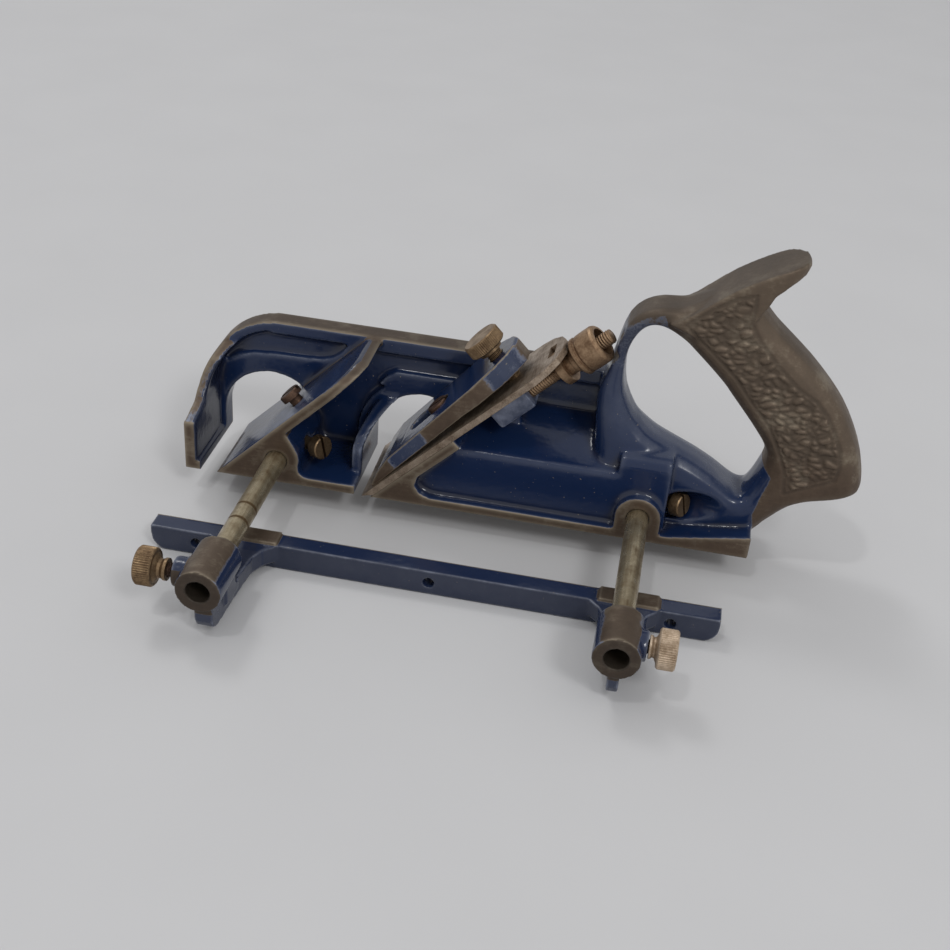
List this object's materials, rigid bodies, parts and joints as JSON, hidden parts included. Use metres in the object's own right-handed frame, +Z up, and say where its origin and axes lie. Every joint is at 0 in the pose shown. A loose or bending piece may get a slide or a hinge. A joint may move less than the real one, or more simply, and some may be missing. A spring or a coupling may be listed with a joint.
{
  "type": "rebate plane",
  "caption": "Cast-iron rebate plane with a closed saw-type handle, main and bull-nose beds, a screw-set cutter under a lever cap, and a rod-guided fence held by thumbscrews.",
  "frame": {"origin": "middle of the sole's length and width, on the sole", "axes": "+X from toe to heel, +Y from the open fence side to the solid right-hand wall, +Z up from the sole"},
  "size_m": [0.2504, 0.1385, 0.1228],
  "materials": {
    "enamel_iron": "worn dark blue enamel on cast iron, ground faces and handle bare",
    "tool_steel": "tarnished ground tool steel",
    "rod_steel": "drawn steel with brown tarnish",
    "screw_steel": "dark turned steel",
    "brass": "dull turned brass",
    "bronze_brass": "browned brass",
    "pale_brass": "pale worn brass"
  },
  "bodies": {
    "casting": {"body": "enamel_iron", "adjusting_stud": "screw_steel"},
    "cutter": {"cutter": "tool_steel"},
    "lever_cap": {"lever_cap": "enamel_iron"},
    "cap_thumb_knob": {"cap_thumb_knob": "brass"},
    "cap_thumb_shank": {"cap_thumb_shank": "brass"},
    "main_cap_screw": {"main_cap_screw": "screw_steel"},
    "front_cap_screw": {"front_cap_screw": "screw_steel"},
    "adjusting_nut": {"adjusting_nut": "bronze_brass"},
    "front_rod": {"front_rod": "rod_steel"},
    "rear_rod": {"rear_rod": "rod_steel"},
    "front_rod_screw": {"front_rod_screw": "brass"},
    "rear_rod_screw": {"rear_rod_screw": "brass"},
    "fence": {"fence": "enamel_iron"},
    "front_fence_knob": {"front_fence_knob": "brass"},
    "front_fence_screw": {"front_fence_screw": "screw_steel"},
    "rear_fence_knob": {"rear_fence_knob": "pale_brass"},
    "rear_fence_screw": {"rear_fence_screw": "screw_steel"},
    "depth_gauge": {"depth_gauge": "tool_steel"},
    "depth_gauge_screw": {"depth_gauge_screw": "brass"},
    "spur": {"spur": "tool_steel"},
    "spur_screw": {"spur_screw": "screw_steel"}
  },
  "joints": [
    {"name": "cutter_slide", "type": "slide", "parent": "casting", "child": "cutter", "axis": [0.7071, 0, 0.7071], "range_m": [-0.0015, 0.0015]},
    {"name": "nut_spin", "type": "hinge", "parent": "cutter", "child": "adjusting_nut", "pos_m": [0.03197, -0.0036, 0.05911], "axis": [0.7071, 0, 0.7071], "range_deg": [-540, 540]},
    {"name": "lever_cap_slide", "type": "slide", "parent": "casting", "child": "lever_cap", "axis": [0.7071, 0, 0.7071], "range_m": [0, 0.01]},
    {"name": "cap_thumb_advance", "type": "slide", "parent": "lever_cap", "child": "cap_thumb_shank", "axis": [-0.7071, 0, 0.7071], "range_m": [0, 0.003]},
    {"name": "cap_thumb_spin", "type": "hinge", "parent": "cap_thumb_shank", "child": "cap_thumb_knob", "pos_m": [0.01571, -0.0036, 0.0502], "axis": [-0.7071, 0, 0.7071], "range_deg": [0, 1080]},
    {"name": "main_cap_screw_turn", "type": "hinge", "parent": "casting", "child": "main_cap_screw", "pos_m": [-0.00622, -0.0036, 0.02828], "axis": [-0.7071, 0, 0.7071], "range_deg": [-180, 180]},
    {"name": "front_cap_screw_turn", "type": "hinge", "parent": "casting", "child": "front_cap_screw", "pos_m": [-0.06752, -0.0036, 0.02758], "axis": [-0.7071, 0, 0.7071], "range_deg": [-180, 180]},
    {"name": "front_rod_slide", "type": "slide", "parent": "casting", "child": "front_rod", "axis": [0, -1, 0], "range_m": [0, 0.015]},
    {"name": "rear_rod_slide", "type": "slide", "parent": "casting", "child": "rear_rod", "axis": [0, -1, 0], "range_m": [0, 0.015]},
    {"name": "front_rod_screw_turn", "type": "hinge", "parent": "casting", "child": "front_rod_screw", "pos_m": [-0.0714, -0.0005, 0.0095], "axis": [0.8501, -0.5, 0.1652], "range_deg": [0, 180]},
    {"name": "rear_rod_screw_turn", "type": "hinge", "parent": "casting", "child": "rear_rod_screw", "pos_m": [0.0658, -0.0005, 0.0095], "axis": [0.8501, -0.5, 0.1652], "range_deg": [0, 180]},
    {"name": "fence_slide", "type": "slide", "parent": "casting", "child": "fence", "axis": [0, 1, 0], "range_m": [-0.003, 0.055]},
    {"name": "front_fence_screw_advance", "type": "slide", "parent": "fence", "child": "front_fence_screw", "axis": [-1, 0, 0], "range_m": [0, 0.004]},
    {"name": "front_fence_knob_spin", "type": "hinge", "parent": "front_fence_screw", "child": "front_fence_knob", "pos_m": [-0.0714, -0.094, 0.0095], "axis": [-1, 0, 0], "range_deg": [0, 1800]},
    {"name": "rear_fence_screw_advance", "type": "slide", "parent": "fence", "child": "rear_fence_screw", "axis": [1, 0, 0], "range_m": [0, 0.004]},
    {"name": "rear_fence_knob_spin", "type": "hinge", "parent": "rear_fence_screw", "child": "rear_fence_knob", "pos_m": [0.0658, -0.091, 0.0095], "axis": [1, 0, 0], "range_deg": [0, 1800]},
    {"name": "depth_gauge_slide", "type": "slide", "parent": "casting", "child": "depth_gauge", "axis": [0, 0, 1], "range_m": [-0.008, 0.01]},
    {"name": "depth_gauge_screw_turn", "type": "hinge", "parent": "casting", "child": "depth_gauge_screw", "pos_m": [0.0025, 0.019, 0.026], "axis": [0, 1, 0], "range_deg": [0, 180]},
    {"name": "spur_turn", "type": "hinge", "parent": "casting", "child": "spur", "pos_m": [-0.0508, 0.017, 0.0065], "axis": [0, 1, 0], "range_deg": [0, 60]},
    {"name": "spur_screw_turn", "type": "hinge", "parent": "casting", "child": "spur_screw", "pos_m": [-0.0508, 0.017, 0.0065], "axis": [0, 1, 0], "range_deg": [0, 180]}
  ],
  "couplings": [
    {"joint": "nut_spin", "follows": "cutter_slide", "rad_per_m": 6283.2},
    {"joint": "cap_thumb_advance", "follows": "cap_thumb_spin", "m_per_rad": 0.00015915},
    {"joint": "front_fence_screw_advance", "follows": "front_fence_knob_spin", "m_per_rad": 0.00012732},
    {"joint": "rear_fence_screw_advance", "follows": "rear_fence_knob_spin", "m_per_rad": 0.00012732}
  ]
}
